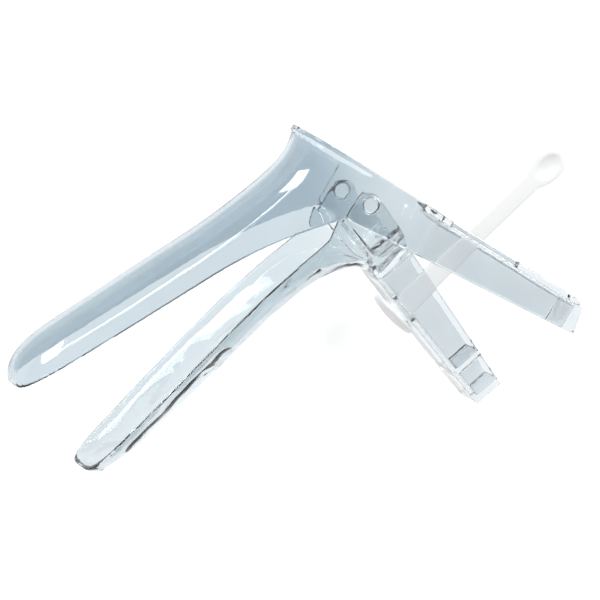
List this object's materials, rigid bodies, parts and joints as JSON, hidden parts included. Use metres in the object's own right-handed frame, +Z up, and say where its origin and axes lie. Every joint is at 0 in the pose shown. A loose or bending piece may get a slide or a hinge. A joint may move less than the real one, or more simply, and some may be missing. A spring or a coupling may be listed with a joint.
{
  "type": "bivalve speculum",
  "caption": "Clear hand-held spreader: two hinged trough-shaped valves with grips, a flared viewing collar and a toothed locking strap through both grips.",
  "frame": {"origin": "on the ground under the lower cheek, which is the face on which the instrument lies", "axes": "+Z up along the hinge, across the instrument; +X towards the grips and +Y towards the collar, so the two valves point along -X"},
  "size_m": [0.1768, 0.103, 0.0312],
  "materials": {
    "clear_shell": "polished clear plastic",
    "milky_strap": "translucent milky, smooth"
  },
  "bodies": {
    "upper": {"upper_blade": "clear_shell"},
    "lower": {"lower_blade": "clear_shell"},
    "strap": {"locking_strap": "milky_strap"}
  },
  "joints": [
    {"name": "blade_hinge", "type": "hinge", "parent": "upper", "child": "lower", "pos_m": [-0.00685, 0.00413, 0.0156], "axis": [0, 0, 1], "range_deg": [-15.5, 16]},
    {"name": "strap_swing", "type": "hinge", "parent": "lower", "child": "strap", "pos_m": [0.00739, -0.03053, 0.0156], "axis": [0, 0, 1], "range_deg": [-3, 3]}
  ]
}
